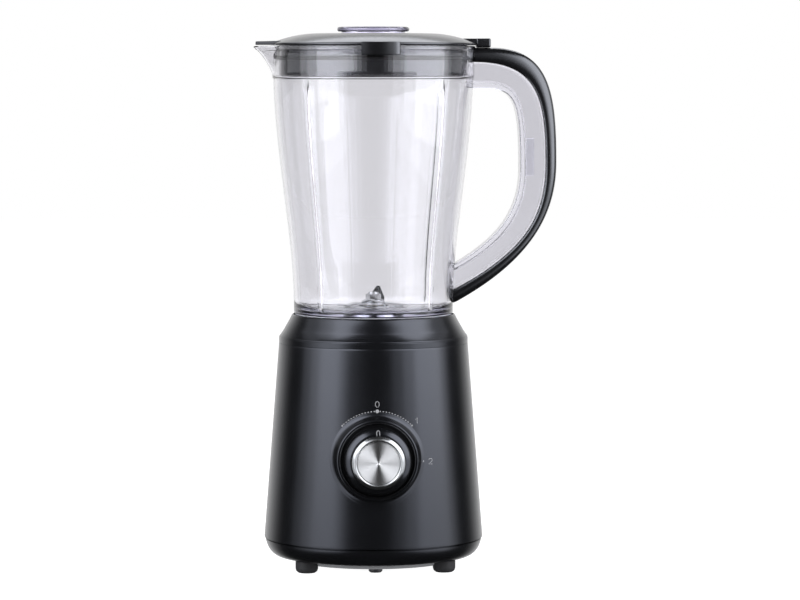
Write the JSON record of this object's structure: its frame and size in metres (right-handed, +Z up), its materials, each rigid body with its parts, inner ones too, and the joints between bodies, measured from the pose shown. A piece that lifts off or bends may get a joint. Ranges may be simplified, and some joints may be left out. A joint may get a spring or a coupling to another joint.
{
  "type": "countertop blender",
  "caption": "Countertop blender with a conical motor base and dial, lift-off clear jar with side handle and spout, lid and measuring cap.",
  "frame": {"origin": "on the drive axis, in the plane that the feet stand on", "axes": "+Z up along the drive axis, -Y the front with the dial, +X the jar's handle, -X the pouring spout"},
  "size_m": [0.2185, 0.1784, 0.39],
  "materials": {
    "satin_black": "satin moulded ABS",
    "gloss_black": "glossy moulded ABS",
    "grey_plastic": "matt moulded ABS",
    "dark_plastic": "matt technical plastic",
    "rubber_black": "soft rubber",
    "silicone_white": "soft silicone",
    "seal_red": "silicone lip seal",
    "clear_plastic": "clear moulded SAN",
    "tinted_plastic": "clear violet-tinted SAN",
    "stainless": "ground stainless steel",
    "plated_steel": "zinc-plated steel",
    "laminated_steel": "varnished lamination stack",
    "bearing_steel": "polished bearing steel",
    "spun_aluminium": "radially spun aluminium",
    "knob_chrome": "bright chrome bevel",
    "copper": "enamelled copper",
    "brass": "plain brass",
    "carbon": "pressed carbon",
    "switch_red": "microswitch case",
    "capacitor_yellow": "box capacitor",
    "plunger_white": "acetal"
  },
  "bodies": {
    "base": {"body_housing": "satin_black", "top_collar": "satin_black", "base_tray": "satin_black", "bottom_cover": "grey_plastic", "rubber_feet": "rubber_black", "cord_wrap_posts": "dark_plastic", "housing_screws": "plated_steel", "cover_screws": "plated_steel", "dial_bezel": "gloss_black", "cord_gland": "rubber_black", "rotary_switch": "dark_plastic", "interlock_switch": "switch_red", "suppression_capacitor": "capacitor_yellow", "drip_seal": "seal_red", "stator_core": "laminated_steel", "field_coils": "copper", "upper_motor_frame": "plated_steel", "lower_motor_frame": "plated_steel", "upper_bearing": "bearing_steel", "lower_bearing": "bearing_steel", "brush_holders": "brass", "carbon_brushes": "carbon", "motor_bolts": "plated_steel", "motor_dampers": "rubber_black", "mount_screws": "plated_steel"},
    "rotor": {"motor_shaft": "bearing_steel", "armature_core": "laminated_steel", "armature_winding": "copper", "commutator": "copper", "cooling_fan": "dark_plastic", "drive_coupling": "rubber_black"},
    "knob": {"knob_body": "satin_black", "knob_ring": "knob_chrome", "knob_disc": "spun_aluminium", "knob_spindle": "plated_steel"},
    "plunger": {"interlock_plunger": "plunger_white"},
    "jar": {"jar": "clear_plastic", "handle_cover": "gloss_black", "blade_mount": "stainless", "mount_gasket": "silicone_white", "mount_nut": "dark_plastic", "blade_bushes": "brass"},
    "blades": {"blade_shaft": "stainless", "lower_blade": "stainless", "upper_blade": "stainless", "blade_washers": "stainless", "blade_nut": "stainless", "driven_coupling": "rubber_black"},
    "lid": {"lid": "gloss_black", "lid_seal": "rubber_black"},
    "cap": {"measuring_cap": "tinted_plastic"}
  },
  "joints": [
    {"name": "rotor_spin", "type": "hinge", "parent": "base", "child": "rotor", "pos_m": [0, 0, 0.08], "axis": [0, 0, 1], "continuous": true},
    {"name": "dial_turn", "type": "hinge", "parent": "base", "child": "knob", "pos_m": [0, -0.085, 0.0845], "axis": [0, 1, 0], "range_deg": [-45, 90]},
    {"name": "interlock_press", "type": "slide", "parent": "base", "child": "plunger", "axis": [0, 0, 1], "range_m": [-0.0015, 0], "stiffness_N_per_m": 300, "springref_m": 0.003},
    {"name": "jar_lift", "type": "slide", "parent": "base", "child": "jar", "axis": [0, 0, 1], "range_m": [0, 0.12]},
    {"name": "blade_spin", "type": "hinge", "parent": "jar", "child": "blades", "pos_m": [0, 0, 0.19], "axis": [0, 0, 1], "continuous": true},
    {"name": "lid_lift", "type": "slide", "parent": "jar", "child": "lid", "axis": [0, 0, 1], "range_m": [0, 0.08]},
    {"name": "cap_lift", "type": "slide", "parent": "lid", "child": "cap", "axis": [0, 0, 1], "range_m": [0, 0.06]}
  ],
  "couplings": [
    {"joint": "blade_spin", "follows": "rotor_spin", "ratio": 1}
  ]
}
